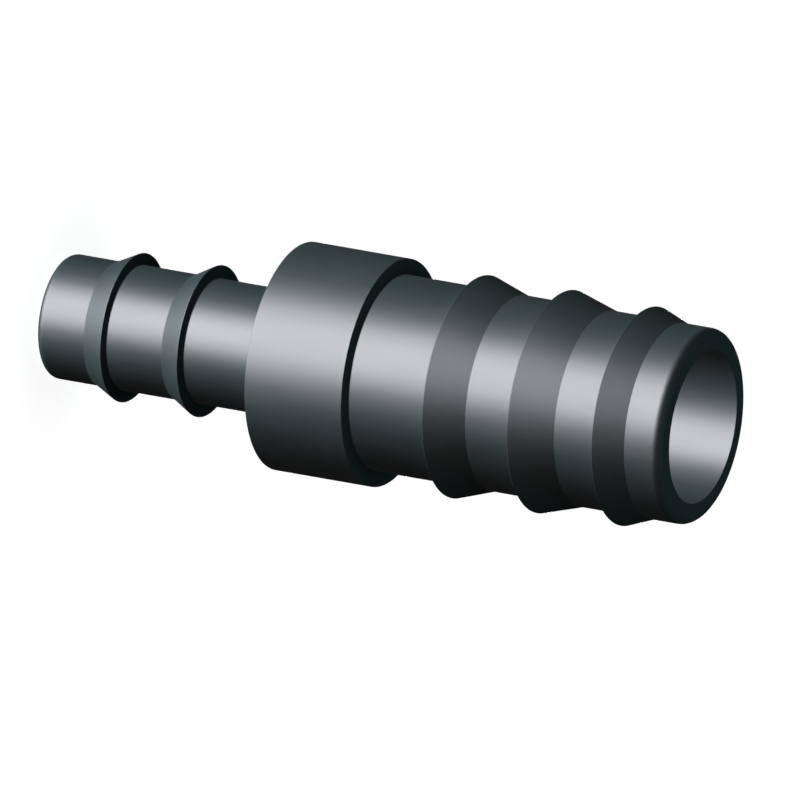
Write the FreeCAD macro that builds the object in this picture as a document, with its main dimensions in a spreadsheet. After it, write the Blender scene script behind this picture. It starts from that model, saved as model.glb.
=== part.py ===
"""Hose barb reducer, moulded in one piece.

It joins a large hose to a small one. A plain collar stands between two round spigots, and
rings of barbs on the spigots grip the hoses. Water runs through a bore that narrows inside
the collar. The axis is Z: the small spigot points down and rests on its end face at Z = 0,
with the origin at the centre of that face, and the large spigot points up.
"""
import FreeCAD, Part
import os
import Sketcher

NODE = "hose_barb_reducer"

# Driving sizes in millimetres, from the small end up. A neck is the plain stretch beside the
# collar, a gap the one between two barbs and a nose the one at the open end. A barb is a
# ramp that rises from the tube towards the collar and ends in a flat back. The small nose is
# a hair slimmer than its tube.
SIZES = {
    # The small spigot, its wall and its end.
    "small_tube_dia": 13.3,
    "small_wall": 1.75,
    "small_end_round": 0.9,
    "small_nose_length": 5.6,
    "small_nose_step": 0.05,
    "small_barb_1_ramp": 2.65,
    "small_barb_1_height": 1.3,
    "small_gap_length": 6.4,
    "small_barb_2_ramp": 2.55,
    "small_barb_2_height": 1.45,
    "small_neck_length": 9.75,
    # The collar: how far it stands out from the large tube, and its length.
    "collar_height": 1.7,
    "collar_length": 11.25,
    # The large spigot, its wall and its end.
    "large_tube_dia": 20.8,
    "large_wall": 2.3,
    "large_end_round": 1.0,
    "large_neck_length": 9.2,
    "large_barb_1_ramp": 4.35,
    "large_barb_1_height": 1.45,
    "large_gap_1_length": 5.5,
    "large_barb_2_ramp": 4.8,
    "large_barb_2_height": 1.45,
    "large_gap_2_length": 4.9,
    "large_barb_3_ramp": 3.25,
    "large_barb_3_height": 1.25,
    "large_nose_length": 4.15,
    # The bore's taper: the floor of solid plastic under it, above the collar's lower face,
    # and its own length.
    "taper_floor": 2.2,
    "taper_length": 4.0,
}

# Every length along the outside, from the small end up.
SMALL_SPIGOT = ["small_nose_length", "small_barb_1_ramp", "small_gap_length",
                "small_barb_2_ramp", "small_neck_length"]
LARGE_SPIGOT = ["large_neck_length", "large_barb_1_ramp", "large_gap_1_length",
                "large_barb_2_ramp", "large_gap_2_length", "large_barb_3_ramp",
                "large_nose_length"]

ON_AXIS = "0"
LEVEL = "0"
FULL_TURN = 360
SAME = 1e-6


def make_sheet(doc):
    """Writes each driving size into its own cell, with its name as the alias."""
    sheet = doc.addObject("Spreadsheet::Sheet", "Sizes")
    for row, (name, value) in enumerate(SIZES.items(), start=1):
        sheet.set(f"A{row}", name)
        sheet.set(f"B{row}", str(value))
        sheet.setAlias(f"B{row}", name)
    doc.recompute()
    return sheet


def size(*names):
    """The formula that adds up the named sizes."""
    return " + ".join(f"Sizes.{name}" for name in names)


def lathe_sketch(body, name, corners):
    """Draws a closed outline beside the Z axis, in the plane of X and Z.

    The first corner is the origin. Every further one is a pair of formulas: its radius, or
    ON_AXIS, and its rise above the corner before it, or LEVEL.
    """
    sketch = body.newObject("Sketcher::SketchObject", name)
    plane = next(f for f in body.Origin.OriginFeatures if f.Role == "XZ_Plane")
    sketch.AttachmentSupport = [(plane, "")]
    sketch.MapMode = "FlatFace"

    points = [FreeCAD.Vector(0, 0, 0)]
    for radius, rise in corners:
        x = float(sketch.evalExpression(radius))
        y = points[-1].y + float(sketch.evalExpression(rise))
        points.append(FreeCAD.Vector(x, y, 0))
    last = len(points) - 1
    for i, start in enumerate(points):
        end = points[0] if i == last else points[i + 1]
        sketch.addGeometry(Part.LineSegment(start, end), False)

    def hold(*constraint):
        return sketch.addConstraint(Sketcher.Constraint(*constraint))

    # In a sketch, -1 is the origin and the X axis, and -2 is the Z axis. A line's point 1 is
    # its start, and its point 2 is its end.
    hold("Coincident", 0, 1, -1, 1)
    for i, (radius, rise) in enumerate(corners, start=1):
        hold("Coincident", i - 1, 2, i, 1)
        if radius == ON_AXIS:
            hold("PointOnObject", i, 1, -2)
        else:
            at = hold("DistanceX", -1, 1, i, 1, points[i].x)
            sketch.setExpression(f"Constraints[{at}]", radius)
        if rise == LEVEL:
            hold("Horizontal", i - 1)
        else:
            at = hold("DistanceY", i - 1, 1, i, 1, points[i].y - points[i - 1].y)
            sketch.setExpression(f"Constraints[{at}]", rise)
    hold("Coincident", last, 2, 0, 1)
    return sketch


def turn(body, kind, name, sketch):
    """Turns the outline a full circle about the Z axis, to add or to cut a round form."""
    feature = body.newObject(kind, name)
    feature.Profile = sketch
    feature.ReferenceAxis = (sketch, ["V_Axis"])
    feature.Angle = FULL_TURN
    sketch.Document.recompute()
    return feature


def outside_corners():
    """The outside from the small end up: spigot, barbs, collar, barbs and spigot."""
    small = size("small_tube_dia") + " / 2"
    nose = f"{small} - {size('small_nose_step')}"
    large = size("large_tube_dia") + " / 2"
    collar = f"{large} + {size('collar_height')}"
    corners = [(nose, LEVEL)]

    # A small barb rises with Z, so its ramp comes first and its flat back last.
    for barb, start, plain in (("small_barb_1", nose, "small_nose_length"),
                               ("small_barb_2", small, "small_gap_length")):
        corners += [
            (start, size(plain)),
            (f"{small} + {size(barb + '_height')}", size(barb + "_ramp")),
            (small, LEVEL),
        ]

    corners += [
        (small, size("small_neck_length")),
        (collar, LEVEL),
        (collar, size("collar_length")),
        (large, LEVEL),
    ]

    # A large barb falls with Z, so its flat back comes first and its ramp last.
    for barb, plain in (("large_barb_1", "large_neck_length"),
                        ("large_barb_2", "large_gap_1_length"),
                        ("large_barb_3", "large_gap_2_length")):
        corners += [
            (large, size(plain)),
            (f"{large} + {size(barb + '_height')}", LEVEL),
            (large, size(barb + "_ramp")),
        ]

    corners += [(large, size("large_nose_length")), (ON_AXIS, LEVEL)]
    return corners


def bore_corners():
    """The bore from the small end up: narrow, a taper inside the collar, then wide."""
    narrow = f"{size('small_tube_dia')} / 2 - {size('small_wall')}"
    wide = f"{size('large_tube_dia')} / 2 - {size('large_wall')}"
    above_floor = f"{size('collar_length', *LARGE_SPIGOT)} - {size('taper_floor')}"
    return [
        (narrow, LEVEL),
        (narrow, size(*SMALL_SPIGOT, "taper_floor")),
        (wide, size("taper_length")),
        (wide, f"{above_floor} - {size('taper_length')}"),
        (ON_AXIS, LEVEL),
    ]


def round_rim(body, name, base, radius, height, amount):
    """Rounds the circular edge that lies at this radius and height."""
    rim = [
        f"Edge{i}" for i, edge in enumerate(base.Shape.Edges, start=1)
        if isinstance(edge.Curve, Part.Circle)
        and abs(edge.Curve.Radius - radius) < SAME
        and abs(edge.Curve.Center.z - height) < SAME
    ]
    fillet = body.newObject("PartDesign::Fillet", name)
    fillet.Base = (base, rim)
    fillet.setExpression("Radius", size(amount))
    body.Document.recompute()
    return fillet


def make_reducer(doc):
    """The whole reducer: its outside is turned, then bored through and rounded at the ends."""
    body = doc.addObject("PartDesign::Body", "Reducer")
    body.Label = NODE

    outside = turn(body, "PartDesign::Revolution", "Outside",
                   lathe_sketch(body, "OutsideOutline", outside_corners()))
    bored = turn(body, "PartDesign::Groove", "Bore",
                 lathe_sketch(body, "BoreOutline", bore_corners()))
    if bored.Shape.Volume >= outside.Shape.Volume:
        raise RuntimeError("the bore cut nothing")

    nose = body.evalExpression(f"{size('small_tube_dia')} / 2 - {size('small_nose_step')}")
    large = body.evalExpression(size("large_tube_dia") + " / 2")
    top = body.evalExpression(size(*SMALL_SPIGOT, "collar_length", *LARGE_SPIGOT))
    low_rim = round_rim(body, "SmallEndRound", bored, nose, 0.0, "small_end_round")
    round_rim(body, "LargeEndRound", low_rim, large, top, "large_end_round")
    body.Placement = FreeCAD.Placement()
    return body


def check(doc, bodies):
    """Stops unless every object recomputed and every body is one valid solid."""
    for item in doc.Objects:
        if "Invalid" in item.State or "Error" in item.State:
            raise RuntimeError(f"{item.Label} failed: {item.State}")
    for body in bodies:
        if body.Shape.isNull() or not body.Shape.isValid() or len(body.Shape.Solids) != 1:
            raise RuntimeError(f"{body.Label} is not one valid solid")


os.makedirs("parts", exist_ok=True)
document = FreeCAD.newDocument("HoseBarbReducer")
make_sheet(document)
reducer = make_reducer(document)
document.recompute()
check(document, [reducer])
reducer.Shape.exportStep(f"parts/{reducer.Label}.step")
bounds = reducer.Shape.BoundBox
print(f"{reducer.Label}: {bounds.XLength:.2f} x {bounds.YLength:.2f} x {bounds.ZLength:.2f} mm,"
      f" {reducer.Shape.Volume:.0f} mm3")
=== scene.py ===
"""The hose barb reducer as it looks: satin slate grey plastic, moulded in one piece."""
import math

import bpy
import numpy as np
from mathutils import Matrix, Vector


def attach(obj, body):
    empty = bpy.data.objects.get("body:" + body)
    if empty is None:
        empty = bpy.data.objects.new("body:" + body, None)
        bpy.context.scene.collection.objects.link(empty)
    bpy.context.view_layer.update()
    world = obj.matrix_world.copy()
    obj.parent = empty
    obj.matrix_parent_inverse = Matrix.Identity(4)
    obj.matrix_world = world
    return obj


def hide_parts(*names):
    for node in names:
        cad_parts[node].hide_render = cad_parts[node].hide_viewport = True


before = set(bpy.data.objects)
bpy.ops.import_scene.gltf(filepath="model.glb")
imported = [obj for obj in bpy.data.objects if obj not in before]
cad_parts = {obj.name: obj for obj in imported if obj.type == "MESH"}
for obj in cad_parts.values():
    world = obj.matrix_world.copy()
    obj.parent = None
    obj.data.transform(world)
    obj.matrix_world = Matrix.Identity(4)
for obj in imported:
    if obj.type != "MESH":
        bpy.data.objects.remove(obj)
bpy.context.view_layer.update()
scene = bpy.context.scene
scene.view_settings.view_transform = "Standard"


# The camera. It looks down on the standing reducer at the photograph's angle and is rolled
# on its side, so that the axis lies across the picture with the large end on the right.
MM = 0.001
CAMERA_ELEVATION = math.radians(24.06)
AXIS_DIP = math.radians(9.91)  # how far the axis falls to the right in the picture
PIXEL = 0.1044 * MM  # the size of one photograph pixel on the object
PICTURE = 800
AIM_HEIGHT = 35.15 * MM  # this point of the axis is seen at the next pixel
AIM_PIXEL_X, AIM_PIXEL_Y = 365.0, 367.8
CAMERA_DISTANCE = 0.3

towards_camera = Vector((0, -math.cos(CAMERA_ELEVATION), math.sin(CAMERA_ELEVATION)))
level_right = Vector((1, 0, 0))
level_up = towards_camera.cross(level_right)
picture_right = math.cos(AXIS_DIP) * level_up - math.sin(AXIS_DIP) * level_right
picture_up = towards_camera.cross(picture_right)
middle = (PICTURE - 1) / 2
eye = (
    Vector((0, 0, AIM_HEIGHT))
    + (middle - AIM_PIXEL_X) * PIXEL * picture_right
    - (middle - AIM_PIXEL_Y) * PIXEL * picture_up
    + CAMERA_DISTANCE * towards_camera
)
camera_data = bpy.data.cameras.new("camera")
camera_data.type = "ORTHO"
camera_data.ortho_scale = PICTURE * PIXEL
camera = bpy.data.objects.new("camera", camera_data)
turn = Matrix((picture_right, picture_up, towards_camera)).transposed()
camera.matrix_world = Matrix.Translation(eye) @ turn.to_4x4()
scene.collection.objects.link(camera)
scene.camera = camera


# The reducer. One injection moulding in dark slate grey polypropylene: two barbed spigots,
# the plain collar between them and the bore through all three. Its edges are crisp, with
# the hairline rounding that a mould leaves on them.
SMALL_NOSE_RADIUS, SMALL_RADIUS, SMALL_BORE = 6.6, 6.65, 4.9
LARGE_RADIUS, LARGE_BORE = 10.4, 8.1
COLLAR_RADIUS = 12.1
CRISP = 0.07  # the rounding of a moulded edge
ROOT = 0.12  # the rounding where a step meets a tube
SMALL_END_ROUND, LARGE_END_ROUND = 0.9, 1.0
# For each barb: the plain stretch before it, its ramp's length and its height.
SMALL_BARBS = ((5.6, 2.65, 1.3), (6.4, 2.55, 1.45))
SMALL_NECK, COLLAR_LENGTH = 9.75, 11.25
LARGE_BARBS = ((9.2, 4.35, 1.45), (5.5, 4.8, 1.45), (4.9, 3.25, 1.25))
LARGE_NOSE = 4.15
TAPER_FLOOR, TAPER_LENGTH = 2.2, 4.0
AROUND = 384  # faces around the axis
ROUNDING_STEPS = 6
# Each pattern in the plastic: its size, its stretch along the axis and its detail.
CLOUDS, STREAKS, GRAIN = (6 * MM, 1.5, 3), (0.7 * MM, 10, 2), (0.3 * MM, 1, 2)
PATTERN_LOW, PATTERN_HIGH = 0.3, 0.7  # nearly all of a pattern lies between these
DARK_CLOUD, PALE_CLOUD = (0.034, 0.069, 0.071), (0.042, 0.079, 0.081)
SMOOTHEST, ROUGHEST = 0.435, 0.465
GRAIN_DEPTH = 0.003 * MM
IOR = 2  # above the bare plastic's 1.5, for the photograph's strong sheen


def reducer_corners():
    """The outline's corners as rows of radius, height and rounding, all in mm.

    It runs up the outside from the small end, across the large end and down the bore. Each
    length is added to the height so far, and a barb's rise to its tube's radius.
    """
    corners = [(SMALL_BORE, 0, CRISP), (SMALL_NOSE_RADIUS, 0, SMALL_END_ROUND)]
    radius, height = SMALL_NOSE_RADIUS, 0
    for plain, ramp, rise in SMALL_BARBS:
        height += plain
        corners.append((radius, height, ROOT))
        radius = SMALL_RADIUS
        height += ramp
        corners.append((radius + rise, height, CRISP))
        corners.append((radius, height, ROOT))
    height += SMALL_NECK
    shoulder = height
    corners.append((SMALL_RADIUS, height, ROOT))
    corners.append((COLLAR_RADIUS, height, CRISP))
    height += COLLAR_LENGTH
    corners.append((COLLAR_RADIUS, height, CRISP))
    corners.append((LARGE_RADIUS, height, ROOT))
    for plain, ramp, rise in LARGE_BARBS:
        height += plain
        corners.append((LARGE_RADIUS, height, ROOT))
        corners.append((LARGE_RADIUS + rise, height, CRISP))
        height += ramp
        corners.append((LARGE_RADIUS, height, ROOT))
    height += LARGE_NOSE
    corners.append((LARGE_RADIUS, height, LARGE_END_ROUND))
    corners.append((LARGE_BORE, height, CRISP))
    corners.append((LARGE_BORE, shoulder + TAPER_FLOOR + TAPER_LENGTH, ROOT))
    corners.append((SMALL_BORE, shoulder + TAPER_FLOOR, ROOT))
    return np.array(corners)


def rounded_outline(corners, steps):
    """Replaces each corner of a closed outline by an arc, and gives the outward normals too.

    The normal turns evenly from one side's to the next side's. The arc's centre lies one
    rounding inside both sides, and each point is the centre plus the rounding times the
    normal, on the other hand at a corner that turns inwards.
    """
    point, rounding = corners[:, :2], corners[:, 2:]
    ahead = np.roll(point, -1, axis=0) - point
    ahead /= np.linalg.norm(ahead, axis=1, keepdims=True)
    behind = np.roll(ahead, 1, axis=0)
    normal = np.stack([behind[:, 1], -behind[:, 0]], axis=1)
    cross = behind[:, 0] * ahead[:, 1] - behind[:, 1] * ahead[:, 0]
    bend = np.arctan2(cross, (behind * ahead).sum(1))[:, None]
    side = np.sign(bend)
    centre = point - behind * rounding * np.tan(abs(bend) / 2) - normal * rounding * side
    share = np.linspace(0, 1, steps + 1)[None, :, None]
    turned = (
        np.cos(bend[:, None] * share) * normal[:, None]
        + np.sin(bend[:, None] * share) * behind[:, None]
    )
    arc = centre[:, None] + (side * rounding)[:, None] * turned
    return arc.reshape(-1, 2), turned.reshape(-1, 2)


def turned_mesh(name, outline, normals, around):
    """Turns a closed outline about the Z axis.

    A point of the outline at radius r and height z goes to (r cos a, r sin a, z) for each
    angle a, its normal turns with it, and the grid closes on itself both ways.
    """
    angle = np.arange(around) * 2 * np.pi / around
    spoke = np.stack([np.cos(angle), np.sin(angle)], axis=1)

    def carried(pair):
        """Each pair of radius and height, or of a normal's two parts, at every angle."""
        flat = pair[:, None, :1] * spoke[None]
        up = np.broadcast_to(pair[:, None, 1:], flat.shape[:2] + (1,))
        return np.concatenate([flat, up], axis=2).reshape(-1, 3)

    i, j = np.meshgrid(np.arange(len(outline)), np.arange(around), indexing="ij")
    next_i, next_j = (i + 1) % len(outline), (j + 1) % around
    quads = np.stack([i * around + j, i * around + next_j,
                      next_i * around + next_j, next_i * around + j], axis=-1).reshape(-1, 4)
    mesh = bpy.data.meshes.new(name)
    mesh.from_pydata(carried(outline * MM), [], quads)
    mesh.shade_smooth()
    mesh.normals_split_custom_set_from_vertices(carried(normals))
    return mesh


def moulded_plastic():
    """Satin polypropylene, coloured right through.

    Soft clouds tint the slate grey a little, streaks along the axis, the way the plastic
    flowed, change its gloss, and a fine grain from the mould's face breaks the highlight.
    """
    material = bpy.data.materials.new("moulded_plastic")
    material.use_nodes = True
    nodes, links = material.node_tree.nodes, material.node_tree.links
    shader = nodes["Principled BSDF"]
    shader.inputs["IOR"].default_value = IOR
    place = nodes.new("ShaderNodeTexCoord")

    def pattern(size, stretch, detail):
        """A noise on the piece's own coordinates, divided by the size and the stretch."""
        shaping = nodes.new("ShaderNodeMapping")
        shaping.inputs["Scale"].default_value = (1, 1, 1 / stretch)
        texture = nodes.new("ShaderNodeTexNoise")
        texture.inputs["Scale"].default_value = 1 / size
        texture.inputs["Detail"].default_value = detail
        links.new(place.outputs["Object"], shaping.inputs["Vector"])
        links.new(shaping.outputs["Vector"], texture.inputs["Vector"])
        return texture.outputs["Fac"]

    clouds = nodes.new("ShaderNodeValToRGB")
    clouds.color_ramp.elements[0].position = PATTERN_LOW
    clouds.color_ramp.elements[0].color = (*DARK_CLOUD, 1)
    clouds.color_ramp.elements[1].position = PATTERN_HIGH
    clouds.color_ramp.elements[1].color = (*PALE_CLOUD, 1)
    links.new(pattern(*CLOUDS), clouds.inputs["Fac"])
    links.new(clouds.outputs["Color"], shader.inputs["Base Color"])

    gloss = nodes.new("ShaderNodeMapRange")
    gloss.inputs["From Min"].default_value = PATTERN_LOW
    gloss.inputs["From Max"].default_value = PATTERN_HIGH
    gloss.inputs["To Min"].default_value = SMOOTHEST
    gloss.inputs["To Max"].default_value = ROUGHEST
    links.new(pattern(*STREAKS), gloss.inputs["Value"])
    links.new(gloss.outputs["Result"], shader.inputs["Roughness"])

    grain = nodes.new("ShaderNodeBump")
    grain.inputs["Strength"].default_value = 1
    grain.inputs["Distance"].default_value = GRAIN_DEPTH
    links.new(pattern(*GRAIN), grain.inputs["Height"])
    links.new(grain.outputs["Normal"], shader.inputs["Normal"])
    return material


outline, outward = rounded_outline(reducer_corners(), ROUNDING_STEPS)
reducer = bpy.data.objects.new("reducer", turned_mesh("reducer", outline, outward, AROUND))
scene.collection.objects.link(reducer)
reducer.data.materials.append(moulded_plastic())
reducer.visible_glossy = False  # it doesn't mirror itself, as in the photograph
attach(reducer, "root")
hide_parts("hose_barb_reducer")


# The stage: a white floor in a white world, and the lamps. The main light comes from beyond
# the small end, which is below the floor here, so those lamps shine up through the floor, and
# through the reducer's own wall into its bore.
FLOOR_HALF = 0.5
FLOOR_COLOUR, FLOOR_GLOW = 0.9, 0.88
WHITE = (1, 1, 1, 1)
FILL, MIRRORED = 0.01, 0.004  # the white world's strength for diffuse and for glossy rays
LAMP_TARGET = Vector((0, 0, 37 * MM))
LAMP_DISTANCE = 1
# Each lamp: its azimuth round the reducer from the camera's side, its elevation, its width
# and height in metres and its power in watts. The one at the back stands straight opposite
# the camera, so that it draws no outline, and the one overhead gives the shadow.
LAMPS = {
    "key": (-30, -51, 0.24, 0.24, 10),
    "sheen": (-17, -31, 1.17, 1.53, 36.3),
    "back": (180, -24, 0.1, 0.1, 10),
    "overhead": (0, 89, 0.6, 0.6, 1.9),
}
SHEEN_COLOUR = (1, 0.93, 0.97)  # the sheen lamp is seen in the gloss only

floor_mesh = bpy.data.meshes.new("floor")
floor_mesh.from_pydata(
    [(x, y, 0) for x, y in ((-1, -1), (1, -1), (1, 1), (-1, 1))], [], [(0, 1, 2, 3)]
)
floor_mesh.transform(Matrix.Scale(FLOOR_HALF, 4))
floor = bpy.data.objects.new("floor", floor_mesh)
scene.collection.objects.link(floor)
floor.visible_glossy = False
floor.visible_diffuse = False  # it throws no light back up, as in the photograph
floor_material = bpy.data.materials.new("floor")
floor_material.use_nodes = True
nodes, links = floor_material.node_tree.nodes, floor_material.node_tree.links
shader = nodes["Principled BSDF"]
shader.inputs["Base Color"].default_value = (FLOOR_COLOUR, FLOOR_COLOUR, FLOOR_COLOUR, 1)
shader.inputs["Roughness"].default_value = 1
shader.inputs["Specular IOR Level"].default_value = 0
shader.inputs["Emission Color"].default_value = (FLOOR_GLOW, FLOOR_GLOW, FLOOR_GLOW, 1)
path = nodes.new("ShaderNodeLightPath")
links.new(path.outputs["Is Camera Ray"], shader.inputs["Emission Strength"])
floor_mesh.materials.append(floor_material)

# What a lamp shines through: the floor alone, or the floor and the reducer.
floor_open = bpy.data.collections.new("floor_open")
all_open = bpy.data.collections.new("all_open")
for passed, pieces in ((floor_open, [floor]), (all_open, [floor, reducer])):
    for piece in pieces:
        passed.objects.link(piece)
    for member in passed.collection_objects:
        member.light_linking.link_state = "EXCLUDE"
for name, (azimuth, elevation, width, height, power) in LAMPS.items():
    lamp_data = bpy.data.lights.new(name, "AREA")
    lamp_data.shape = "RECTANGLE"
    lamp_data.size = width
    lamp_data.size_y = height
    lamp_data.energy = power
    lamp = bpy.data.objects.new(name, lamp_data)
    a, e = math.radians(azimuth), math.radians(elevation)
    out = Vector((math.sin(a) * math.cos(e), -math.cos(a) * math.cos(e), math.sin(e)))
    lamp.matrix_world = (
        Matrix.Translation(LAMP_TARGET + LAMP_DISTANCE * out)
        @ (-out).to_track_quat("-Z", "Y").to_matrix().to_4x4()
    )
    lamp.visible_camera = False
    lamp.visible_diffuse = name != "sheen"
    lamp.visible_glossy = name in ("sheen", "back")
    if name == "sheen":
        lamp_data.color = SHEEN_COLOUR
    if name == "back":
        lamp.light_linking.blocker_collection = floor_open
    if name in ("key", "sheen"):
        lamp.light_linking.blocker_collection = all_open
    scene.collection.objects.link(lamp)

world = bpy.data.worlds.new("world")
scene.world = world
world.use_nodes = True
nodes, links = world.node_tree.nodes, world.node_tree.links
path = nodes.new("ShaderNodeLightPath")
mirrored = nodes.new("ShaderNodeMix")
mirrored.inputs["A"].default_value = FILL
mirrored.inputs["B"].default_value = MIRRORED
links.new(path.outputs["Is Glossy Ray"], mirrored.inputs["Factor"])
seen = nodes.new("ShaderNodeMath")
seen.operation = "MAXIMUM"
links.new(path.outputs["Is Camera Ray"], seen.inputs[0])
links.new(path.outputs["Is Transmission Ray"], seen.inputs[1])
strength = nodes.new("ShaderNodeMix")
strength.inputs["B"].default_value = 1  # white where the camera sees the world
links.new(seen.outputs["Value"], strength.inputs["Factor"])
links.new(mirrored.outputs["Result"], strength.inputs["A"])
links.new(strength.outputs["Result"], nodes["Background"].inputs["Strength"])
nodes["Background"].inputs["Color"].default_value = WHITE
